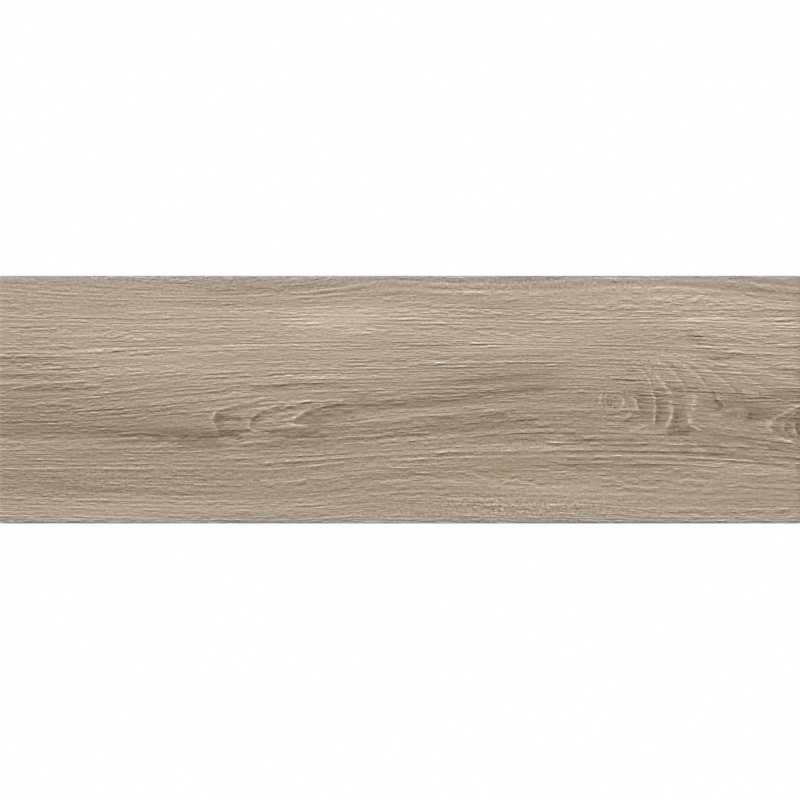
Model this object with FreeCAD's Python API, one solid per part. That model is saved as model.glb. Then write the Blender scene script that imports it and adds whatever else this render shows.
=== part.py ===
"""A wood-look porcelain plank tile, lying face up on its keyed back.

The tile is one pressed and fired slab, so it is one solid in one node. Its section is what the
press leaves: a face whose edges roll down a little, an upright land that the joint is set out
from, a lower wall that leans in towards the back so that the slab leaves its mould, and a small
arris at the back. The back carries a waffle of low ribs, which keys the tile into its adhesive.

Frame: millimetres, +Z up through the face, +X along the length, origin on the rib crests at the
middle of the back. The grain of the face is surface texture, and isn't in this solid.
"""

import FreeCAD
import Part

import math
import os

# Overall size
tile_length = 598.0
tile_width = 185.0
tile_thickness = 8.0
corner_radius = 0.8

# Rolled edge of the face
roll_width = 2.2
roll_drop = 0.5

# Side wall, from the rolled edge down
land_height = 3.8
wall_lean = 0.7
back_arris = 0.6

# Keyed back
rib_height = 0.5
rib_crest_width = 2.2
rib_side_lean = 0.4
solid_margin = 4.5
cells_along = 36
cells_across = 11


def section_outline(span):
    """The pressed section across a span, as a closed wire in the XZ plane, centred on X."""
    half = span / 2
    land_top = tile_thickness - roll_drop
    land_foot = land_top - land_height
    foot_half = half - wall_lean
    crest_half = foot_half - back_arris

    # The roll is one arc, level where it leaves the face
    roll_radius = (roll_width**2 + roll_drop**2) / (2 * roll_drop)
    roll_angle = math.asin(roll_width / roll_radius)
    mid_out = roll_radius * math.sin(roll_angle / 2)
    mid_down = roll_radius * (1 - math.cos(roll_angle / 2))

    def at(x, z):
        return FreeCAD.Vector(x, 0, z)

    def line(start, end):
        return Part.LineSegment(at(*start), at(*end)).toShape()

    def roll(side):
        face_edge = half - roll_width
        return Part.Arc(
            at(side * half, land_top),
            at(side * (face_edge + mid_out), tile_thickness - mid_down),
            at(side * face_edge, tile_thickness),
        ).toShape()

    right_wall = [(crest_half, 0), (foot_half, back_arris), (half, land_foot), (half, land_top)]
    left_wall = [(-x, z) for x, z in right_wall]
    edges = [line(left_wall[0], right_wall[0])]
    for wall in (right_wall, left_wall):
        edges += [line(start, end) for start, end in zip(wall, wall[1:])]
    edges += [roll(1), roll(-1)]
    edges.append(line((half - roll_width, tile_thickness), (roll_width - half, tile_thickness)))
    return Part.Wire(Part.__sortEdges__(edges))


def prism(span, depth):
    """The pressed section across a span, run along Y for a depth, both centred on the origin."""
    face = Part.Face(section_outline(span))
    face.translate(FreeCAD.Vector(0, -depth / 2, 0))
    return face.extrude(FreeCAD.Vector(0, depth, 0))


def plan_block():
    """The tile's plan with its small corner rounds, run up through the thickness."""
    block = Part.makeBox(
        tile_length,
        tile_width,
        tile_thickness,
        FreeCAD.Vector(-tile_length / 2, -tile_width / 2, 0),
    )
    upright = [
        edge
        for edge in block.Edges
        if abs(edge.Vertexes[0].Z - edge.Vertexes[1].Z) > tile_thickness / 2
    ]
    return block.makeFillet(corner_radius, upright)


def pressed_slab():
    """The slab with its rolled face edges, lands and leaning walls, mitred at the corners."""
    long_section = prism(tile_length, tile_width)
    cross_section = prism(tile_width, tile_length)
    cross_section.rotate(FreeCAD.Vector(0, 0, 0), FreeCAD.Vector(0, 0, 1), 90)
    return long_section.common(cross_section).common(plan_block())


def key_pocket(mouth_x, mouth_y):
    """One cell between the ribs: a shallow pocket whose sides lean in towards its floor.

    It starts below the crests by its own depth, on the same lean, so that it cuts clean through.
    """
    outer_x, inner_x = mouth_x / 2 + rib_side_lean, mouth_x / 2 - rib_side_lean
    outer_y, inner_y = mouth_y / 2 + rib_side_lean, mouth_y / 2 - rib_side_lean
    pocket = Part.makeWedge(
        *(-outer_x, -rib_height, -outer_y, -inner_y, -inner_x),
        *(outer_x, rib_height, outer_y, inner_y, inner_x),
    )
    # A wedge narrows along Y, and a pocket narrows upwards
    pocket.rotate(FreeCAD.Vector(0, 0, 0), FreeCAD.Vector(1, 0, 0), 90)
    return pocket


def centres(count, pitch):
    """The places of a centred row of cells."""
    return [(index - (count - 1) / 2) * pitch for index in range(count)]


def key_pockets():
    """All cells of the waffle, which leave the ribs between them and a solid margin around."""
    crest_inset = wall_lean + back_arris + solid_margin
    field_x = tile_length - 2 * crest_inset
    field_y = tile_width - 2 * crest_inset
    pitch_x = (field_x + rib_crest_width) / cells_along
    pitch_y = (field_y + rib_crest_width) / cells_across
    pocket = key_pocket(pitch_x - rib_crest_width, pitch_y - rib_crest_width)
    return [
        pocket.translated(FreeCAD.Vector(x, y, 0))
        for x in centres(cells_along, pitch_x)
        for y in centres(cells_across, pitch_y)
    ]


def plank_tile():
    """The whole tile: the pressed slab with the waffle pressed into its back."""
    return pressed_slab().cut(key_pockets()).removeSplitter()


os.makedirs("parts", exist_ok=True)
tile = plank_tile()
solid = tile.Solids[0]
solid.exportStep("parts/plank_tile.step")

box = solid.BoundBox
print("solids", len(tile.Solids), "valid", solid.isValid(), "faces", len(solid.Faces))
print("size", round(box.XLength, 3), round(box.YLength, 3), round(box.ZLength, 3))
print("volume in cubic centimetres", round(solid.Volume / 1000, 2))
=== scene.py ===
import math

import bpy
import numpy as np
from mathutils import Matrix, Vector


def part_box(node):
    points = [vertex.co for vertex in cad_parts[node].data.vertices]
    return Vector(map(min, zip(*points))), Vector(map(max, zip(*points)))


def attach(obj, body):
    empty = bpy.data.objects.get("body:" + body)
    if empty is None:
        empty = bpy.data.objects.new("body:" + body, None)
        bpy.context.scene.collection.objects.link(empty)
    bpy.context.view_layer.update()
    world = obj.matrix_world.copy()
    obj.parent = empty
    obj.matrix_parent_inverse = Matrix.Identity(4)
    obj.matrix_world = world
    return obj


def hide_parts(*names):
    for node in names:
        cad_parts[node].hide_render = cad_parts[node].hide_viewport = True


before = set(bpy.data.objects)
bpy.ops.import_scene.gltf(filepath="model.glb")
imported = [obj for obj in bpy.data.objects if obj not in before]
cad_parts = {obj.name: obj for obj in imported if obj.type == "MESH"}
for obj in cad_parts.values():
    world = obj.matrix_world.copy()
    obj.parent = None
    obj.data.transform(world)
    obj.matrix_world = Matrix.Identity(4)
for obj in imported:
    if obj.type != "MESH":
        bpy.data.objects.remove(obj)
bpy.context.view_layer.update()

# The tile blank. One slab of porcelain body, pressed between a face plate and a ribbed back plate
# and fired once. Its face edges roll down, its walls lean in to leave the mould, and its back
# carries the waffle of ribs that keys into the adhesive.
tile_low, tile_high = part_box("plank_tile")
half_length = (tile_high[0] - tile_low[0]) / 2
half_width = (tile_high[1] - tile_low[1]) / 2
thickness = tile_high[2] - tile_low[2]

roll_width = 0.0022
roll_drop = 0.0005
roll_rings = 3
land_height = 0.0038
wall_lean = 0.0007
back_arris = 0.0006
solid_margin = 0.0045
rib_height = 0.0005
rib_crest_width = 0.0022
rib_side_lean = 0.0004
cells_along = 36
cells_across = 11
face_cuts_per_cell_along = 7
face_cuts_per_cell_across = 29
corner_pull = 0.00023
tolerance = 1e-6
step_tolerance = 0.01


def select_where(piece, wanted, kind="VERT"):
    """Select, in edit mode, just the vertices or faces whose middle the test accepts."""
    bpy.ops.mesh.select_mode(type=kind)
    bpy.ops.mesh.select_all(action="DESELECT")
    bpy.ops.object.mode_set(mode="OBJECT")
    mesh = piece.data
    elements = mesh.vertices if kind == "VERT" else mesh.polygons
    places = np.empty(len(elements) * 3)
    elements.foreach_get("co" if kind == "VERT" else "center", places)
    elements.foreach_set("select", wanted(*places.reshape(-1, 3).T))
    bpy.ops.object.mode_set(mode="EDIT")


def select_border():
    """Select the open border of the mesh in edit mode."""
    bpy.ops.mesh.select_mode(type="EDGE")
    bpy.ops.mesh.select_all(action="DESELECT")
    bpy.ops.mesh.select_non_manifold(
        extend=False,
        use_wire=False,
        use_boundary=True,
        use_multi_face=False,
        use_non_contiguous=False,
        use_verts=False,
    )


def draw_border(inset_before, inset_after, drop):
    """Extrude the open border into one more ring, given by its inset from the tile's outline."""
    select_border()
    bpy.ops.mesh.extrude_edges_move()
    spread_x = (half_length - inset_after) / (half_length - inset_before)
    spread_y = (half_width - inset_after) / (half_width - inset_before)
    bpy.ops.transform.resize(value=(spread_x, spread_y, 1), center_override=(0, 0, 0))
    bpy.ops.transform.translate(value=(0, 0, -drop))


bpy.ops.object.select_all(action="DESELECT")
flat_length = 2 * (half_length - roll_width)
flat_width = 2 * (half_width - roll_width)
bpy.ops.mesh.primitive_grid_add(
    x_subdivisions=cells_along * face_cuts_per_cell_along,
    y_subdivisions=cells_across * face_cuts_per_cell_across,
    size=1,
    location=(0, 0, thickness),
)
tile = bpy.context.object
tile.name = "wood_grain_tile"
tile.scale = (flat_length, flat_width, 1)
bpy.ops.object.transform_apply(location=True, scale=True)
bpy.ops.object.mode_set(mode="EDIT")

# The face edge rolls down along one arc, level where it leaves the flat
roll_radius = (roll_width**2 + roll_drop**2) / (2 * roll_drop)
inset_before, drop_before = roll_width, 0
for ring in range(1, roll_rings + 1):
    angle = math.asin(roll_width / roll_radius) * ring / roll_rings
    inset_after = roll_width - roll_radius * math.sin(angle)
    drop_after = roll_radius * (1 - math.cos(angle))
    draw_border(inset_before, inset_after, drop_after - drop_before)
    inset_before, drop_before = inset_after, drop_after
draw_border(0, 0, land_height)


def between_cells(x, y, z):
    """The foot's border vertices that don't stand at a corner of a cell on the back."""
    steps_x = (x / half_length + 1) / 2 * cells_along
    steps_y = (y / half_width + 1) / 2 * cells_across
    on_long_side = np.abs(y) > half_width - tolerance
    on_short_side = np.abs(x) > half_length - tolerance
    loose_x = (np.abs(steps_x - np.round(steps_x)) > step_tolerance) & on_long_side
    loose_y = (np.abs(steps_y - np.round(steps_y)) > step_tolerance) & on_short_side
    return (z < thickness - roll_drop - land_height / 2) & (loose_x | loose_y)


# Below the land, the border keeps only the corners of the cells on the back
select_where(tile, between_cells)
bpy.ops.mesh.dissolve_verts()
foot_height = thickness - roll_drop - land_height
draw_border(0, wall_lean, foot_height - back_arris)
draw_border(wall_lean, wall_lean + back_arris, back_arris)
field_inset = wall_lean + back_arris + solid_margin - rib_crest_width / 2
draw_border(wall_lean + back_arris, field_inset, 0)

# The waffle: a grid of cells, each pressed in between its ribs
bpy.ops.mesh.primitive_grid_add(
    x_subdivisions=cells_along,
    y_subdivisions=cells_across,
    size=1,
    location=(0, 0, 0),
)
bpy.ops.transform.resize(
    value=(2 * (half_length - field_inset), 2 * (half_width - field_inset), 1),
    center_override=(0, 0, 0),
)
bpy.ops.mesh.select_all(action="SELECT")
bpy.ops.mesh.remove_doubles(threshold=tolerance)
bpy.ops.mesh.normals_make_consistent(inside=False)


def in_field(x, y, z):
    """The faces of the back's grid, inside its plain margin."""
    inside_x = np.abs(x) < half_length - field_inset
    inside_y = np.abs(y) < half_width - field_inset
    return (z < tolerance) & inside_x & inside_y


select_where(tile, in_field, kind="FACE")
bpy.ops.mesh.inset(thickness=rib_crest_width / 2, use_individual=True)
bpy.ops.mesh.inset(thickness=rib_side_lean, depth=-rib_height, use_individual=True)


def at_corners(x, y, z):
    """The four upright columns of corner vertices, from the outer roll ring down to the foot."""
    outside_x = np.abs(x) > half_length - wall_lean - tolerance
    outside_y = np.abs(y) > half_width - wall_lean - tolerance
    return outside_x & outside_y


# The mould's upright corners are eased, so the corner columns are drawn in a little
select_where(tile, at_corners)
bpy.ops.transform.resize(
    value=(1 - corner_pull / half_length, 1 - corner_pull / half_width, 1),
    center_override=(0, 0, 0),
)
bpy.ops.object.mode_set(mode="OBJECT")

# The layout of the print. The plate shows one flat-sawn oak board: how its fibres swing, where it is
# pale or dark, and where the grain is busy. Places are millimetres from the tile's middle, X to the
# right and Y away, and tones are grey levels out of 255.
millimetres = 1000
vertex_count = len(tile.data.vertices)
places = np.empty(vertex_count * 3)
tile.data.vertices.foreach_get("co", places)
x, y, z = places.reshape(-1, 3).T * millimetres


def bell(distance, reach):
    """1 at no distance, falling smoothly to about a third at the reach."""
    return np.exp(-((distance / reach) ** 2))


def ease(place, start, end):
    """0 up to the start, 1 from the end, and smooth between them."""
    passed = np.clip((place - start) / (end - start), 0, 1)
    return passed * passed * (3 - 2 * passed)


def swing(x, y):
    """How far the fibres at a place have swung off their straight run, in millimetres."""
    total = 0
    for height, start, end, at_y, half_wide in [
        (15, -290, -40, 4, 36),
        (7, -60, 110, -12, 45),
        (-11, 125, 300, 18, 26),
        (-5, 200, 310, -40, 26),
        (-7, -330, -180, 82, 18),
        (10, -130, 0, 92, 20),
        (2, 20, 200, 95, 20),
        (-3, 200, 300, 88, 22),
        (-3, -20, 130, 60, 16),
        (-4, -290, -110, -75, 20),
        (6, -110, -10, -66, 30),
        (-4, 20, 220, -82, 18),
    ]:
        total = total + height * ease(x, start, end) * bell(y - at_y, half_wide)
    return total


def paint(piece, name, values):
    """Keep a value for each vertex under a name that the materials read."""
    layer = piece.data.attributes.new(name, "FLOAT", "POINT")
    layer.data.foreach_set("value", values.astype(np.float32))


def patch(at_x, at_y, half_long, half_wide, rise=0.0):
    """A soft patch of the face, drawn out along a line that rises to the right."""
    off_line = y - at_y - rise * (x - at_x)
    return bell(x - at_x, half_long) * bell(off_line, half_wide)


def streak(points, half_wide):
    """A soft streak of the face, drawn through a few points and tapered at both ends."""
    line_x, line_y = zip(*points)
    taper = 30
    begun = ease(x, line_x[0], line_x[0] + taper)
    ended = ease(x, line_x[-1] - taper, line_x[-1])
    return begun * (1 - ended) * bell(y - np.interp(x, line_x, line_y), half_wide)


paint(tile, "across", (y - swing(x, y)) / millimetres)

# How closely the fibres are packed at each place, for lines of an even width
closest_packing = 1.1
swing_per_millimetre = swing(x, y + 0.5) - swing(x, y - 0.5)
paint(tile, "packing", np.minimum(1 - swing_per_millimetre, closest_packing))

# The pale sapwood side, the dark heart, the broad patches, and a strip of painted shade along the
# right end where the rolled edge turns away from the lamp. Each patch has its place, half length, half
# width, rise and grey levels
tone_and_end_shade = 144 + 15 * bell(y - 62, 38) - 8.5 * bell(y + 17, 26) + 4 * bell(y + 85, 14)
tone_and_end_shade -= 2 * bell(y - 4, 11) + 2 * bell(y - 62, 7)
tone_and_end_shade += 2 * bell(y - 27, 8) - 3 * bell(y - 84, 10) - 2 * bell(y + 27, 8) - 2 * bell(y + 63, 10)
for at_x, at_y, half_long, half_wide, rise, levels in [
    (-100, 12, 120, 16, 0.10, 5),
    (-90, -9, 45, 9, 0.0, 6),
    (-190, -30, 60, 8, 0.0, -3),
    (-285, 45, 50, 25, 0.0, -5),
    (-285, -62, 60, 12, 0.0, -6),
    (80, 18, 60, 12, 0.15, -8),
    (100, -62, 70, 10, 0.0, 6),
    (105, -28, 80, 8, 0.03, 10),
    (-68, -17, 14, 5, 0.0, -8),
    (265, -10, 35, 11, -0.1, -8),
    (297, -18, 12, 9, 0.0, -17),
    (193, -11, 9, 9, 0.0, -8),
    (208, -15, 6, 9, 0.0, -8),
    (209, -24, 9, 3, 0.0, -9),
    (264, -10, 9, 5, 0.0, -6),
    (264, 2.5, 30, 3.5, -0.02, -9),
    (229, -7, 9, 5, 0.0, 5),
    (180, -28, 60, 6, 0.0, 4),
    (180, 45, 30, 10, 0.0, -5),
    (190, 82, 40, 9, 0.0, 5),
    (-90, 84, 70, 5, 0.0, -7),
    (-180, 27, 60, 10, 0.05, 6),
    (0, -9, 40, 6, 0.05, 7),
    (182, 0, 40, 16, 0.0, -4),
    (265, -45, 40, 10, -0.1, 7),
    (-50, 62, 80, 9, 0.05, 5),
    (180, 76, 60, 9, 0.0, 2),
    (90, 41, 50, 7, 0.0, 3),
    (-45, 44, 70, 10, 0.0, 3),
    (-295, 18, 50, 30, 0.0, -4),
    (-290, -80, 50, 8, 0.0, -6),
    (-220, 69, 20, 6, 0.0, -6),
    (-130, 80, 30, 4, 0.1, -6),
    (179, -64, 40, 8, 0.0, -6),
    (179, -17, 30, 6, 0.0, -4),
    (-90, -17, 25, 8, 0.0, 4),
    (265, -80, 40, 8, 0.0, -6),
    (90, -80, 50, 8, 0.0, 4),
    # Painted shade: a strip darker along the right end, where the rolled edge turns away from the lamp
    (299.5, 0, 2.5, 200, 0.0, -9),
]:
    tone_and_end_shade += levels * patch(at_x, at_y, half_long, half_wide, rise)

# The long dark and pale streaks of the board. Each has its points, half width and grey levels
for points, half_wide, levels in [
    ([(-340, -6), (-231, -8.5), (-140, -9)], 3.4, -11),
    ([(-340, -18), (-209, -22.5), (-110, -27)], 6.0, -10),
    ([(-240, -28.5), (-172, -28), (-110, -27)], 2.2, -14),
    ([(-340, -34.5), (-150, -35.5)], 2.2, 5),
    ([(-265, -53), (-149, -55.5), (-82, -55.5), (-20, -45)], 1.9, -9),
    ([(-275, -64.5), (-172, -68), (-67, -69.5), (-7, -55.5), (37, -52.5), (240, -50)], 3.0, -7),
    ([(-340, -81.5), (-82, -81.5), (-25, -76)], 4.5, 6),
    ([(-35, -46.5), (-15, -44), (30, -42), (105, -38), (149, -38.6), (239, -41), (340, -58)], 1.2, -9),
    ([(-25, -27), (60, -25), (165, -25)], 1.1, -12),
    ([(-20, -53.5), (60, -52), (120, -49.5), (215, -49.5)], 1.2, -16),
    ([(-35, -42), (0, -39.5), (60, -35.5), (149, -34.5), (240, -36)], 1.5, 7),
    ([(-35, -48), (30, -45.5), (110, -42), (230, -42)], 1.5, 5),
    ([(-125, -37), (-37, -31), (22, -24), (75, -19.5), (175, -20.5)], 1.9, -14),
    ([(-65, -25.5), (22, -19.5), (75, -15), (145, -15)], 1.9, 5),
    ([(-90, -34.5), (0, -30), (60, -25.5), (165, -27)], 2.2, 6),
    ([(-40, -9), (15, -2.5), (60, 3), (130, 11)], 3.2, -20),
    ([(20, 10.5), (75, 16.5), (135, 21)], 3.0, -18),
    ([(-30, 0), (30, 6), (100, 12)], 1.9, 8),
    ([(-160, 3), (-112, 8), (-75, 12), (-25, 9)], 2.2, -13),
    ([(-160, 8), (-112, 12.5), (-40, 17)], 2.2, 6),
    ([(-85, -15), (-56, -6), (-10, -1.5)], 3.4, -14),
    ([(-340, 30), (-235, 30)], 1.6, -13),
    ([(-340, 24), (-235, 23)], 1.6, 9),
    ([(-340, 18), (-225, 17)], 1.7, -23),
    ([(-340, 12.5), (-215, 14)], 1.7, 21),
    ([(-340, 7.5), (-220, 9)], 1.7, -23),
    ([(-300, 2), (-205, 3)], 1.6, 6),
    ([(-65, 25.5), (0, 30), (60, 32), (130, 34)], 1.5, -15),
    ([(-180, 37), (-104, 41), (-40, 46)], 3.0, 8),
    ([(20, 37), (122, 39.5)], 2.2, 7),
    ([(-90, 57), (-5, 63)], 6.5, 10),
    ([(-150, 80), (-97, 81.5), (-40, 87)], 3.7, -6),
    ([(-30, 89), (135, 89)], 3.0, -8),
    ([(40, 70.5), (125, 66)], 1.2, -15),
    ([(25, 66), (130, 59)], 1.2, -12),
    ([(195, 60.5), (260, 60.5)], 2.2, 18),
    ([(225, 50.5), (340, 52)], 4.5, 6),
    ([(215, 35.5), (258, 31), (340, 8)], 2.1, -14),
    ([(225, 30), (258, 25), (340, -2)], 2.1, 12),
    ([(222, -3), (275, -3)], 3.0, -12),
    ([(232, -11.5), (290, -11.5)], 3.0, -12),
    ([(228, 3), (340, -1)], 1.9, -6),
    ([(212, -18), (282, -21)], 3.7, 5),
    ([(200, -20), (225, -22), (245, -28), (290, -29.5)], 2.5, -9),
    ([(165, -34.5), (268, -34.5)], 2.2, 5),
]:
    tone_and_end_shade += levels * streak(points, half_wide)
paint(tile, "tone_and_end_shade", tone_and_end_shade)

# Where the ink turns a little yellow, and where it turns a little green
yellow = np.zeros(vertex_count)
for at_x, at_y, half_long, half_wide, levels in [
    (-285, 0, 25, 80, 2.0),
    (-146, -13, 20, 4, 3.0),
    (45, -13, 30, 4, 3.0),
    (158, -13, 24, 4, 3.0),
    (-52, -25, 14, 4, 3.0),
    (85, -56, 30, 8, 3.0),
    (165, -68, 28, 7, 3.0),
    (-75, -73, 24, 5, 3.0),
    (194, -38, 20, 4, 3.0),
    (0, -52, 330, 16, 0.8),
]:
    yellow += levels * patch(at_x, at_y, half_long, half_wide)
paint(tile, "yellow", yellow)
green = 3 * patch(-164, -37, 22, 4) + 4 * patch(264, -9, 9, 6) + 3 * patch(-105, 77, 40, 7)
green += 0.8 * patch(0, -72, 330, 18)
paint(tile, "green", green)

# How strong the fine grain is: stronger in the pale wood, calmer where the wood is smooth
busy = 1 + 0.3 * patch(20, 42, 45, 28) + 0.25 * patch(218, 45, 25, 20)
busy += 0.3 * patch(240, 55, 70, 32) + 0.2 * patch(-260, 25, 60, 25)
for at_x, at_y, half_long, half_wide, calmer in [
    (-250, 82, 110, 16, 0.45),
    (0, -75, 320, 12, 0.25),
    (-67, -16, 14, 5, 0.6),
    (-150, -34, 20, 4, 0.5),
    (-27, 0, 8, 7, 0.5),
    (193, -14, 9, 8, 0.5),
    (210, -10, 8, 8, 0.4),
    (245, -14, 26, 14, 0.55),
    (-265, -46, 45, 10, 0.3),
    (130, -42, 60, 6, 0.25),
    (-40, 61, 9, 6, 0.6),
    (-30, 85, 50, 9, 0.4),
    (170, 85, 110, 8, 0.3),
]:
    busy -= calmer * patch(at_x, at_y, half_long, half_wide)
paint(tile, "busy", busy)

# How strong the short flecks across the grain are: most along the upper and lower edges, in the
# band of rays that rises under the middle, and round the knot
flecks_everywhere = 0.5
flecks = np.full(vertex_count, flecks_everywhere)
for at_x, at_y, half_long, half_wide, rise, more in [
    (-240, 84, 120, 14, 0.0, 0.3),
    (30, -42, 120, 5, 0.113, 0.5),
    (90, -80, 70, 8, 0.0, 1.3),
    (158, -2, 11, 7, 0.0, 0.8),
    (185, 20, 25, 16, 0.0, 0.5),
    (60, 86, 190, 8, 0.0, 0.5),
    (-225, -62, 90, 12, 0.0, 0.4),
]:
    flecks += more * patch(at_x, at_y, half_long, half_wide, rise)
paint(tile, "flecks", flecks)

# How far the plate presses its relief in: all over the flat, fading before the rolled edge
fade_width = 3.0
to_end = half_length * millimetres - np.abs(x)
to_side = half_width * millimetres - np.abs(y)
to_roll = np.minimum(to_end, to_side) - roll_width * millimetres
on_face = z > thickness * millimetres - 0.01
paint(tile, "pressed", np.clip(to_roll / fade_width, 0, 1) * on_face)


# The embossed print. The ink draws fine fibres, open pores with a pale lip, and year rings that run
# into arches on the left and round two knots on the right. The face plate presses the long fibres in
# where the ink has them.
class Signal:
    """A number that varies over the surface, held as a node's output, that sums can be made of."""

    def __init__(self, tree, socket):
        self.tree = tree
        self.socket = socket

    def __add__(self, other):
        return compute(self.tree, "ADD", self, other)

    def __radd__(self, other):
        return compute(self.tree, "ADD", other, self)

    def __sub__(self, other):
        return compute(self.tree, "SUBTRACT", self, other)

    def __rsub__(self, other):
        return compute(self.tree, "SUBTRACT", other, self)

    def __mul__(self, other):
        return compute(self.tree, "MULTIPLY", self, other)

    def __truediv__(self, other):
        return compute(self.tree, "DIVIDE", self, other)

    def bell(self, reach):
        """1 where the number is 0, falling smoothly to about a third at the reach."""
        scaled = self / reach
        return compute(self.tree, "EXPONENT", scaled * scaled * -1)

    def ramp(self, low, high):
        """0 up to low, 1 from high, and smooth between them."""
        node = self.tree.nodes.new("ShaderNodeMapRange")
        node.interpolation_type = "SMOOTHSTEP"
        for name, value in (("Value", self), ("From Min", low), ("From Max", high)):
            feed(self.tree, node.inputs[name], value)
        return Signal(self.tree, node.outputs["Result"])


def feed(tree, socket, value):
    """Give a node's input a signal or a plain number."""
    if isinstance(value, Signal):
        tree.links.new(value.socket, socket)
    else:
        socket.default_value = value


def compute(tree, operation, *values):
    """One Math node, fed with signals and plain numbers."""
    node = tree.nodes.new("ShaderNodeMath")
    node.operation = operation
    for socket, value in zip(node.inputs, values):
        feed(tree, socket, value)
    return Signal(tree, node.outputs["Value"])


def read_painted(tree, name):
    """A value that was painted on the vertices, in a material or in a modifier's tree."""
    if tree.type == "SHADER":
        node = tree.nodes.new("ShaderNodeAttribute")
        node.attribute_name = name
        return Signal(tree, node.outputs["Fac"])
    node = tree.nodes.new("GeometryNodeInputNamedAttribute")
    node.inputs["Name"].default_value = name
    return Signal(tree, node.outputs["Attribute"])


def combine(tree, *numbers):
    """A place, from its two or three numbers."""
    place = tree.nodes.new("ShaderNodeCombineXYZ")
    for socket, number in zip(place.inputs, numbers):
        if number:
            tree.links.new(number.socket, socket)
    return place.outputs[0]


def noise_at(tree, u, v, w=None):
    """Smooth noise over two or three numbers, from about -1 to 1."""
    noise = tree.nodes.new("ShaderNodeTexNoise")
    noise.noise_dimensions = "3D" if w else "2D"
    noise.inputs["Scale"].default_value = 1
    noise.inputs["Detail"].default_value = 0
    tree.links.new(combine(tree, u, v, w), noise.inputs["Vector"])
    middle, spread = 0.5, 4
    return (Signal(tree, noise.outputs[0]) - middle) * spread


def drawn_noise(tree, along, across, length, width, seed):
    """Noise drawn out along the fibres, slanted so that its patches don't stand in columns."""
    slant = 0.73
    v = across / width + seed * 9.7
    return noise_at(tree, along / length + v * slant + seed * 17.3, v)


# The families of lines, from the long furrows to the pores: row spacing, half width, length of a
# dash, seed, the noise at which a dash begins and at which it is full, and the grey levels
line_families = [
    (0.0040, 0.00034, 0.030, 2, -0.3, 0.5, 31),
    (0.0034, 0.00033, 0.014, 3, -0.2, 0.5, 36),
    (0.0030, 0.00030, 0.008, 5, -0.1, 0.6, 34),
    (0.0017, 0.00027, 0.005, 6, -0.1, 0.6, 39),
]


def draw_lines(tree, along, across, packing, spacing, half_wide, length, seed, scarce, full):
    """A dark and a pale line in each row along the fibres, broken into dashes together."""
    dark_place, pale_place, drift = 0.20, 0.66, 0.22
    count = across / spacing + seed * 0.37
    row = compute(tree, "FLOOR", count)
    luck_node = tree.nodes.new("ShaderNodeTexWhiteNoise")
    luck_node.noise_dimensions = "1D"
    tree.links.new((row + seed * 31.7).socket, luck_node.inputs["W"])
    luck = Signal(tree, luck_node.outputs["Value"])
    within = count - row - luck * drift
    dark = ((within - dark_place) * spacing / packing).bell(half_wide)
    pale = ((within - pale_place) * spacing / packing).bell(half_wide)
    dashes = noise_at(tree, along / length + luck * 91, row * 5.3).ramp(scarce, full)
    return dark * dashes, pale * dashes


def waver(tree, along, across):
    """The fibres' own slow and quick waver, added to the board's swing."""
    slow_height, quick_height = 0.0007, 0.00014
    across = across + drawn_noise(tree, along, across, 0.070, 0.012, 1) * slow_height
    return across + drawn_noise(tree, along, across, 0.012, 0.005, 13) * quick_height


def draw_grain(tree, along, across):
    """The fine grain, in grey levels, and its last family of lines alone, the open pores."""
    pale_share, soft_levels, broad_levels, unevenness = 0.93, 6.5, 5, 0.28
    packing = read_painted(tree, "packing")
    lines = 0
    for *family, levels in line_families:
        dark, pale = draw_lines(tree, along, across, packing, *family)
        lines = (pale * pale_share - dark) * levels + lines
    soft = drawn_noise(tree, along, across, 0.110, 0.0032, 9) * soft_levels
    broad = drawn_noise(tree, along, across, 0.320, 0.0056, 10) * broad_levels
    lively = 1 + drawn_noise(tree, along, across, 0.055, 0.010, 17) * unevenness
    return soft + broad + lines * lively, dark


def draw_flecks(tree, along, away):
    """Short flecks and ticks that lie across the grain, from about -1 to 1."""
    lean = 0.25
    upright = noise_at(tree, (along + away * lean) / 0.0016, away / 0.0026)
    return upright + noise_at(tree, along / 0.0026, away / 0.0009)


def make_edge_group():
    """The node group of one drawn edge: a line bowed to its left, and a shade on that side."""
    group = bpy.data.node_groups.new("drawn edge", "ShaderNodeTree")
    names = ("Drawn Before", "Along", "Away", "Onward X", "Onward Y", "Onward", "Sideways", "Length")
    names += ("Bow", "Half Width", "Levels", "Shade", "Fade")
    for name in names:
        group.interface.new_socket(name=name, in_out="INPUT", socket_type="NodeSocketFloat")
    group.interface.new_socket(name="Drawn", in_out="OUTPUT", socket_type="NodeSocketFloat")
    sockets = group.nodes.new("NodeGroupInput").outputs
    result = group.nodes.new("NodeGroupOutput").inputs
    given = {name: Signal(group, sockets[name]) for name in names}

    # Each edge waits for the one before it, so that the renderer never holds many half drawn at once
    wait = given["Drawn Before"] * 1e-9
    along, away = given["Along"] + wait, given["Away"] + wait
    onward = along * given["Onward X"] + away * given["Onward Y"]
    passed = (onward - given["Onward"]) / given["Length"]
    rise = passed * (1 - passed) * 4
    beside = away * given["Onward X"] - along * given["Onward Y"]
    beside = beside - given["Sideways"] - rise * given["Bow"]
    line = beside.bell(given["Half Width"]) * given["Levels"]
    shade = beside.ramp(0, 1) * (1 - beside.ramp(0, given["Fade"])) * given["Shade"]
    drawn = given["Drawn Before"] + rise.ramp(0, 0.5) * (line - shade)
    group.links.new(drawn.socket, result["Drawn"])
    return group


edge_group = make_edge_group()


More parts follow.
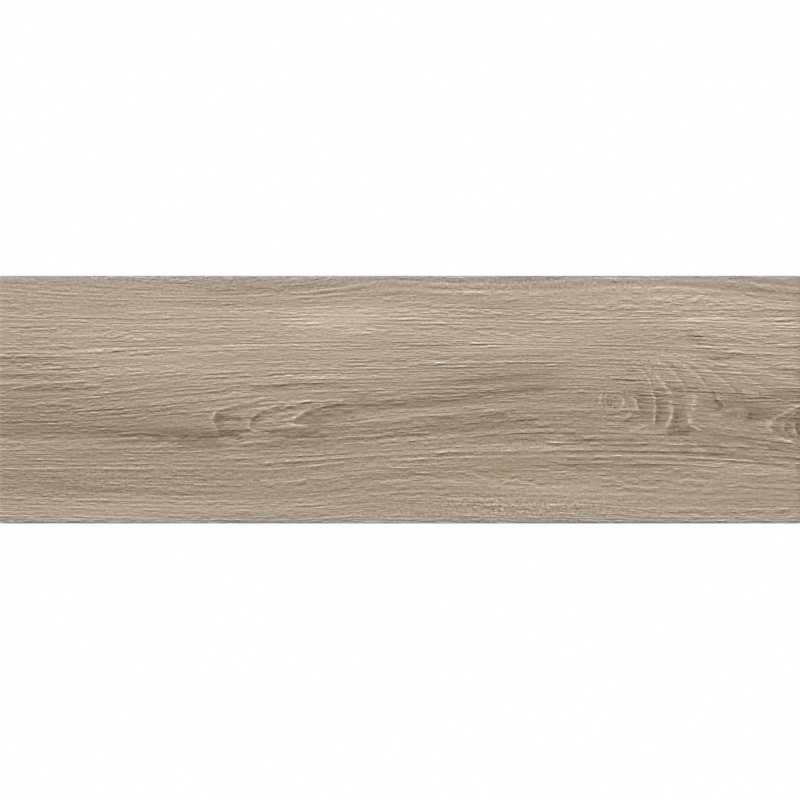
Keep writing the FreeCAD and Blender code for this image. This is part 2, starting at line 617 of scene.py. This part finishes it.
def draw_stroke(tree, along, away, before, start, end, bow, half_wide, levels, shade=0, fade=1):
    """Add one drawn edge, from start to end in millimetres, to what has been drawn before."""
    length = math.dist(start, end)
    onward_x, onward_y = (end[0] - start[0]) / length, (end[1] - start[1]) / length
    node = tree.nodes.new("ShaderNodeGroup")
    node.node_tree = edge_group
    for name, value in [
        ("Drawn Before", before),
        ("Along", along),
        ("Away", away),
        ("Onward X", onward_x),
        ("Onward Y", onward_y),
        ("Onward", start[0] * onward_x + start[1] * onward_y),
        ("Sideways", start[1] * onward_x - start[0] * onward_y),
        ("Length", length),
        ("Bow", bow),
        ("Half Width", half_wide),
        ("Levels", levels),
        ("Shade", shade),
        ("Fade", fade),
    ]:
        feed(tree, node.inputs[name], value)
    return Signal(tree, node.outputs["Drawn"])


# Each stroke: start, end, bow, half width, grey levels, then the levels and width of its shade
first_arch = [
    ((-103, -1), (-139, -9), -1.5, 1.1, 21, 26, 6.7),
    ((-136.5, -8), (-142, -15.5), 0, 1.5, 33, 34, 8),
    ((-139, -12.5), (-117, -14), 0, 1.6, -26),
    ((-141, -16), (-136.5, -23.5), 0.6, 1.4, 24, 17, 11),
    ((-137, -23.5), (-110.5, -23.5), 0, 0.8, -32),
    ((-137.5, -29.5), (-116.5, -32.5), 1.5, 1.1, 27, 29, 6.7),
    ((-169, -33), (-131.5, -34.5), 0, 4.2, -9),
    ((-188, -27.8), (-130, -27.8), 0, 0.9, -28),
]
second_arch = [
    ((-86.5, -4), (-111.5, -13.5), -2, 1.1, 27, 38, 6.7),
    ((-65, 0), (-86.5, -4.5), 0, 1.1, 22, 38, 4),
    ((-112, -13.5), (-113, -22), -0.5, 1.3, 17, 20, 10.8),
    ((-114.5, -22), (-97, -25.5), 0, 1.1, 20),
]
third_arch = [
    ((-65, -6.5), (-81.5, -15.5), -1, 1.7, 33, 30, 8.1),
    ((-40.5, 0), (-65, -6.5), 0, 1.1, 25, 32, 5.4),
    ((-86.5, -17.5), (-67.5, -21), 0, 1.1, 22),
    ((-110.5, -24), (-58.5, -24.5), 0, 0.8, -30),
    ((-88, -27.5), (-52.5, -28), 0, 0.8, -25),
]
over_the_arches = [
    ((-73.5, 10), (-113.5, 6), -2, 1.1, -26),
    ((-80.5, 13.5), (-130, 4.5), 0, 1.1, 20),
    ((-260, 13.5), (-299, 6.5), 0, 1.1, 20, 18, 4),
    ((-149.5, 16.5), (-286.5, -6), 0, 1.1, 14, 16, 4),
    ((-27.5, 6.5), (-27.5, -7.5), 0, 3.5, -7),
    ((-30, -7), (-75, -13), 0, 1.4, 0, 14, 10.8),
    ((37.5, 7.5), (-30, -5.5), 0, 1.1, -14),
]
knot_eye = [
    ((151, 5), (150, -3), -1, 1, 28, 22, 2.7),
    ((154, 4.5), (154.5, -2.5), -0.5, 0.8, 12, 12, 2.7),
    ((163, 4.5), (163, -8.5), 3.5, 1.1, 30, 10, 3),
    ((152.5, -1.5), (158.5, -3), 0, 1.4, -20),
]
knot_rings = [
    ((172.5, 3.5), (178, -8.5), 1, 1.3, 28, 16, 5),
    ((174, -9), (158.5, -17.5), 2, 1.3, 22, 16, 5.4),
    ((158.5, -17.5), (146.5, -19), 0, 1.1, 12),
    ((180.5, 10), (180.5, -11), 0, 4, -10),
    ((178, 24), (188.5, 3), 2.2, 1.1, 17, 12, 4),
    ((188.5, 6), (188.5, -19.5), 2, 1.1, 32, 21, 8.1),
    ((187, -18.5), (170.5, -23.5), 0, 1.1, 26, 9, 4),
    ((187, 29), (195, 27), 0, 1.1, 26),
    ((190.5, 18.5), (202, 3), 1.5, 1.4, 26, 14, 5.4),
    ((202, 4.5), (202.5, -9), 0, 2.2, 18, 9, 4),
    ((203.5, -5.5), (198, -22), 1.5, 1.5, 34, 20, 11),
    ((218, -9), (219, 5), 0, 3.6, 26, 22, 4),
    ((216, -18.5), (215, -9), 0, 2.8, 28, 22, 5.4),
    ((225, -23.5), (214.5, -17.5), 0, 1.4, 26, 26, 7),
    ((197.5, -24), (218.5, -24), 0, 1, -24),
    ((199, -26.3), (217, -25.8), 0, 0.9, -24),
    ((239, -2.5), (233, 9), -0.5, 1.2, 14, 30, 4.7),
    ((239, -9), (238, 1), -3.5, 1.8, 8, 26, 8),
]
knot_fan = [
    ((190.5, 31), (216, 1), 4, 1.6, 13, 17, 5),
    ((202, 31), (235, 1), 4, 1.6, 14, 18, 5),
    ((213, 30), (256, -1), 4, 1.6, 14, 18, 5),
    ((224, 31), (278, 3), 4, 1.6, 12, 16, 5),
]
dashes_over_the_knot = [
    ((182.5, 3), (215.5, 3), 0, 0.6, -26),
    ((187, 7.5), (225.5, 8.5), 0, 0.6, -24),
    ((166, 22.5), (181.5, 21), 0, 0.8, -22),
    ((157.5, 15), (187, 15.5), 0, 0.8, -22),
    ((224.5, 30), (252, 31.5), 0, 0.8, -28),
    ((233, 24.5), (246.5, 24), 0, 0.8, -28),
    ((242, -8), (259, -6.5), 0, 1.5, 18),
    ((230, -13), (241, -10.5), 0, 1.8, 18),
    ((212, 44.5), (225, 43.5), 0, 0.8, -22),
    ((221, 41.5), (236, 40.5), 0, 0.8, -24),
    ((213, 48), (227, 47), 0, 0.8, -22),
    ((255, 7), (268.5, 3), 0, 1.9, 20),
    ((278, 6), (299, 6), 0, 0.8, -28),
    ((251, -11.5), (260, -11.5), 0, 2.4, 14),
    ((260, -10.5), (261, -16), 0, 1.9, -16),
]
edge_knot = [
    ((303, -2), (275, -16.5), 0, 1.4, 28, 14, 6.7),
    ((277, -14.5), (274, -22), 0, 2.6, 20),
    ((275, -21), (297, -33), -2, 1.4, 15, 16, 8.1),
    ((297, -8.5), (286.5, -16), 0, 1.1, 20, 12, 4),
    ((286.5, -16), (285, -23.5), 0, 1.1, 26, 23, 8.1),
    ((285.5, -23.5), (292.5, -31), 0, 1.1, 18, 12, 4),
    ((294, -17.5), (297.5, -28), -0.5, 1.1, 24, 28, 8.1),
]
flow_lines = [
    ((121, -30.1), (190, -30.3), 0, 0.8, -30),
    ((186, -30.6), (245, -32.8), 0.3, 0.7, -16),
    ((146, -33.6), (190, -33.8), 0, 0.7, -18),
    ((200, -33.8), (312, -40.8), 1.5, 0.75, -38),
    ((119.5, -38.6), (212, -38.6), 0, 0.8, -20),
    ((200, -39.2), (312, -46), 1.5, 0.7, -27),
    ((119.5, -44.8), (215, -44.8), 0, 0.8, -22),
    ((205, -45), (312, -53), 2, 0.75, -32),
    ((217, -37), (229.5, -38.5), 0, 1.1, 26),
]
strokes = first_arch + second_arch + third_arch + over_the_arches + knot_eye + knot_rings
strokes += knot_fan + dashes_over_the_knot + edge_knot + flow_lines


def draw_rings(tree, along, away):
    """The year rings of the arches and of both knots, and the long flow lines, in grey levels."""
    ring_ink = 1.25
    ragged = drawn_noise(tree, along, away, 0.009, 0.005, 11) * 0.5
    ragged = ragged + drawn_noise(tree, along, away, 0.003, 0.0014, 12) * 0.3
    strength = 0.95 + drawn_noise(tree, along, away, 0.009, 0.0025, 14) * 0.45
    along, away = along * millimetres + ragged, away * millimetres + ragged * 0.5
    marks = ragged * 0.1
    for stroke in strokes:
        marks = draw_stroke(tree, along, away, marks, *stroke)
    return marks * strength * ring_ink


# The two longest families of lines are pressed into the flat as shallow furrows, as deep as this
long_depth = 0.00010
middle_depth = 0.00008
relief = bpy.data.node_groups.new("pressed furrows", "GeometryNodeTree")
relief.interface.new_socket(name="Blank", in_out="INPUT", socket_type="NodeSocketGeometry")
relief.interface.new_socket(name="Pressed", in_out="OUTPUT", socket_type="NodeSocketGeometry")
blank = relief.nodes.new("NodeGroupInput")
pressed = relief.nodes.new("NodeGroupOutput")
position = relief.nodes.new("GeometryNodeInputPosition")
apart = relief.nodes.new("ShaderNodeSeparateXYZ")
relief.links.new(position.outputs[0], apart.inputs[0])
along = Signal(relief, apart.outputs["X"])
across = waver(relief, along, read_painted(relief, "across"))
packing = read_painted(relief, "packing")
long_furrows, _ = draw_lines(relief, along, across, packing, *line_families[0][:-1])
middle_furrows, _ = draw_lines(relief, along, across, packing, *line_families[1][:-1])
depth = long_furrows * long_depth + middle_furrows * middle_depth
depth = depth * read_painted(relief, "pressed") * read_painted(relief, "busy")
offset = relief.nodes.new("ShaderNodeCombineXYZ")
relief.links.new((0 - depth).socket, offset.inputs["Z"])
press = relief.nodes.new("GeometryNodeSetPosition")
relief.links.new(blank.outputs["Blank"], press.inputs["Geometry"])
relief.links.new(offset.outputs[0], press.inputs["Offset"])
relief.links.new(press.outputs[0], pressed.inputs["Pressed"])
bpy.ops.object.modifier_add(type="NODES")
tile.modifiers[-1].node_group = relief
bpy.ops.object.modifier_apply(modifier=tile.modifiers[-1].name)

# The fired surfaces. The face and the rolled edge carry the matt printed glaze, and everything below
# them is bare porcelain body. Both are fired once, so one slab has both finishes.
full_level = 255
display_gamma = 2.2


def set_colour(tree, red, green, blue):
    """Send three grey levels out of 255 to the material's Base Color."""
    colour = tree.nodes.new("ShaderNodeCombineColor")
    for name, level in (("Red", red), ("Green", green), ("Blue", blue)):
        feed(tree, colour.inputs[name], level / full_level)
    linear = tree.nodes.new("ShaderNodeGamma")
    linear.inputs["Gamma"].default_value = display_gamma
    tree.links.new(colour.outputs[0], linear.inputs["Color"])
    tree.links.new(linear.outputs[0], tree.nodes["Principled BSDF"].inputs["Base Color"])


def set_bump(tree, height, distance):
    """Raise the material's surface by a height from 0 to 1, times a distance in metres."""
    bump = tree.nodes.new("ShaderNodeBump")
    bump.inputs["Distance"].default_value = distance
    tree.links.new(height.socket, bump.inputs["Height"])
    tree.links.new(bump.outputs["Normal"], tree.nodes["Principled BSDF"].inputs["Normal"])


def read_place(tree):
    """Where the shaded point lies on the piece: X, Y and Z."""
    coordinates = tree.nodes.new("ShaderNodeTexCoord")
    apart = tree.nodes.new("ShaderNodeSeparateXYZ")
    tree.links.new(coordinates.outputs["Object"], apart.inputs[0])
    return [Signal(tree, apart.outputs[name]) for name in "XYZ"]


glaze = bpy.data.materials.new("matt printed glaze")
glaze.use_nodes = True
tree = glaze.node_tree
along, away, _ = read_place(tree)
across = waver(tree, along, read_painted(tree, "across"))
grain, pores = draw_grain(tree, along, across)
grain = grain * read_painted(tree, "busy")
fleck_levels = 9
flecked = draw_flecks(tree, along, away) * read_painted(tree, "flecks") * fleck_levels
level = read_painted(tree, "tone_and_end_shade") + grain + flecked + draw_rings(tree, along, away)

# The ink is warm and a little uneven in hue. It turns greyer towards both long edges. The near long
# edge, where it rolls down away from the lamp, is darkened with painted shade
red_over_green = 16.3
green_over_blue = 16.5
rim_greyness = 0.55
painted_near_rim_shade_levels = 30
hue = drawn_noise(tree, along, away, 0.060, 0.025, 15) * 0.8
rim = compute(tree, "ABSOLUTE", away).ramp(half_width - 0.0042, half_width - 0.0012)
# Painted shade along the near rolled edge, which turns away from the lamp
painted_near_rim_shade = (0 - away).ramp(half_width - 0.0010, half_width - 0.0003)
level = level - painted_near_rim_shade * painted_near_rim_shade_levels
warmth = 1 - rim * rim_greyness
set_colour(
    tree,
    level + warmth * (hue + red_over_green) - read_painted(tree, "green"),
    level,
    level - warmth * green_over_blue + hue * 0.6 - read_painted(tree, "yellow"),
)
glaze_roughness = 0.62 - grain * 0.002
tree.links.new(glaze_roughness.socket, tree.nodes["Principled BSDF"].inputs["Roughness"])
tooth_depth = 0.00005
tooth = drawn_noise(tree, along, away, 0.0012, 0.0005, 16)
set_bump(tree, 0.5 + tooth * 0.1 - pores * 0.4, tooth_depth)
tile.data.materials.append(glaze)

# The bare body below the glaze: a pale warm grey with fine specks, scored upright where it left the
# mould, with a run of glaze along the top of the land and kiln dust on the ribs that it was fired on
body = bpy.data.materials.new("fired porcelain body")
body.use_nodes = True
tree = body.node_tree
along, away, up = read_place(tree)
specks = noise_at(tree, along / 0.0007, away / 0.0007, up / 0.0007)
clouds = noise_at(tree, along / 0.021, away / 0.017, up / 0.004)
scores = noise_at(tree, (along + away) / 0.0009, up / 0.0120)
on_land = up.ramp(back_arris, back_arris + 0.0005)
run_edge = clouds * 0.0003 + noise_at(tree, (along + away) / 0.0031, up / 0.01) * 0.0002
glazed = (up - run_edge).ramp(thickness - roll_drop - 0.0011, thickness - roll_drop - 0.0006)
dust = (0 - up).ramp(-0.0001, 0.00005) * noise_at(tree, along / 0.006, away / 0.004).ramp(-0.7, 0.6)
body_level = 172
pale_specks = specks.ramp(0.3, 0.9) * 9
dark_specks = specks.ramp(-0.3, -0.9) * 16
level = body_level + pale_specks - dark_specks + clouds * 4
level = level + on_land * scores * 5 + dust * 26 + glazed * 14
set_colour(tree, level + 8 - dust * 3, level, level - 9 + dust * 5)
body_roughness = 0.85 - glazed * 0.3
tree.links.new(body_roughness.socket, tree.nodes["Principled BSDF"].inputs["Roughness"])
score_depth = 0.00004
set_bump(tree, 0.5 + specks * 0.2 + on_land * scores * 0.3, score_depth)
tile.data.materials.append(body)


def below_roll(x, y, z):
    """The faces of the land, the walls and the back."""
    just_below = 1e-5
    return z < thickness - roll_drop - just_below


bpy.ops.object.mode_set(mode="EDIT")
select_where(tile, below_roll, kind="FACE")
tile.active_material_index = 1
bpy.ops.object.material_slot_assign()
bpy.ops.object.mode_set(mode="OBJECT")
bpy.ops.object.shade_smooth_by_angle(angle=math.radians(20))

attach(tile, "root")
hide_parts("plank_tile")

# The studio: a white paper sweep, a soft white room and one large lamp high on the left. The paper
# shows white to the camera and in reflections, and keeps a faint shadow of the tile.
paper_evenness = 0.975
room_strength = 0.55


def seen_directly(tree):
    """1 for what the camera sees straight, mirrored or through glass, and 0 for lighting."""
    path = tree.nodes.new("ShaderNodeLightPath")
    names = ("Is Camera Ray", "Is Glossy Ray", "Is Transmission Ray")
    camera_ray, glossy_ray, transmission_ray = (Signal(tree, path.outputs[name]) for name in names)
    return compute(tree, "MAXIMUM", compute(tree, "MAXIMUM", camera_ray, glossy_ray), transmission_ray)


bpy.ops.mesh.primitive_plane_add(size=6, location=(0, 0, 0))
floor = bpy.context.object
floor.name = "studio_floor"
paper = bpy.data.materials.new("white paper")
paper.use_nodes = True
tree = paper.node_tree
tree.nodes.remove(tree.nodes["Principled BSDF"])
matt_white = tree.nodes.new("ShaderNodeBsdfDiffuse")
matt_white.inputs["Color"].default_value = (1, 1, 1, 1)
lit_white = tree.nodes.new("ShaderNodeEmission")
blend = tree.nodes.new("ShaderNodeMixShader")
tree.links.new((seen_directly(tree) * paper_evenness).socket, blend.inputs["Fac"])
tree.links.new(matt_white.outputs[0], blend.inputs[1])
tree.links.new(lit_white.outputs[0], blend.inputs[2])
tree.links.new(blend.outputs[0], tree.nodes["Material Output"].inputs["Surface"])
floor.data.materials.append(paper)

world = bpy.data.worlds.new("soft white room")
bpy.context.scene.world = world
world.use_nodes = True
tree = world.node_tree
background = tree.nodes["Background"]
background.inputs["Color"].default_value = (1, 1, 1, 1)
strength = room_strength + seen_directly(tree) * (1 - room_strength)
tree.links.new(strength.socket, background.inputs["Strength"])

bpy.ops.object.light_add(type="SUN", location=(-0.6, 0.8, 1.0))
sun = bpy.context.object
sun.data.angle = 0.5
sun.data.energy = 2.08
sun.rotation_euler = (math.radians(-38), math.radians(-32), 0)

camera_lens = 85
camera_sensor = 36
shown_share = 0.9993
camera_nearer = 0.00027
seen_edge_height = thickness - roll_drop
seen_length = 2 * half_length * shown_share
camera_height = seen_edge_height + camera_lens * seen_length / camera_sensor
bpy.ops.object.camera_add(location=(0, -camera_nearer, camera_height), rotation=(0, 0, 0))
camera = bpy.context.object
camera.data.lens = camera_lens
camera.data.sensor_width = camera_sensor
camera.data.clip_end = 20
bpy.context.scene.camera = camera
bpy.context.scene.view_settings.view_transform = "Standard"
